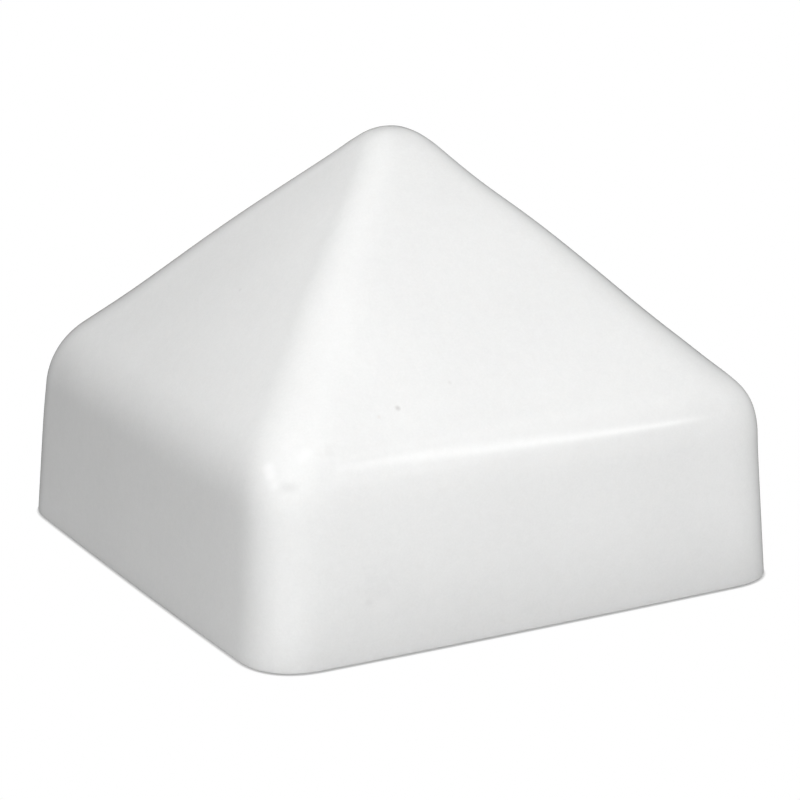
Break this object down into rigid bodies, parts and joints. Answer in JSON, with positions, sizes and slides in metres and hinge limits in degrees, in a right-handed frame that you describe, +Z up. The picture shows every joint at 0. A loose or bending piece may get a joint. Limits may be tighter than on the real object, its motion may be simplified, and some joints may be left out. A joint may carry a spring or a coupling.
{
  "type": "fence post cap",
  "caption": "Hollow white plastic pyramid cap with softly rounded edges that drops over a square fence post, gripped by foam strips in its skirt and seated on foam discs.",
  "frame": {"origin": "centre of the rim plane, the open bottom of the cap", "axes": "+Z up through the peak; X and Y square to the skirt faces; the front face looks along -Y"},
  "size_m": [0.1032, 0.1032, 0.0762],
  "materials": {
    "shell_plastic": "satin, fine moulded texture",
    "pad_foam": "matte closed-cell foam"
  },
  "bodies": {
    "root": {"cap_shell": "shell_plastic", "grip_pad_back": "pad_foam", "grip_pad_front": "pad_foam", "grip_pad_left": "pad_foam", "grip_pad_right": "pad_foam", "seat_pad_back_left": "pad_foam", "seat_pad_back_right": "pad_foam", "seat_pad_front_left": "pad_foam", "seat_pad_front_right": "pad_foam"}
  },
  "joints": []
}
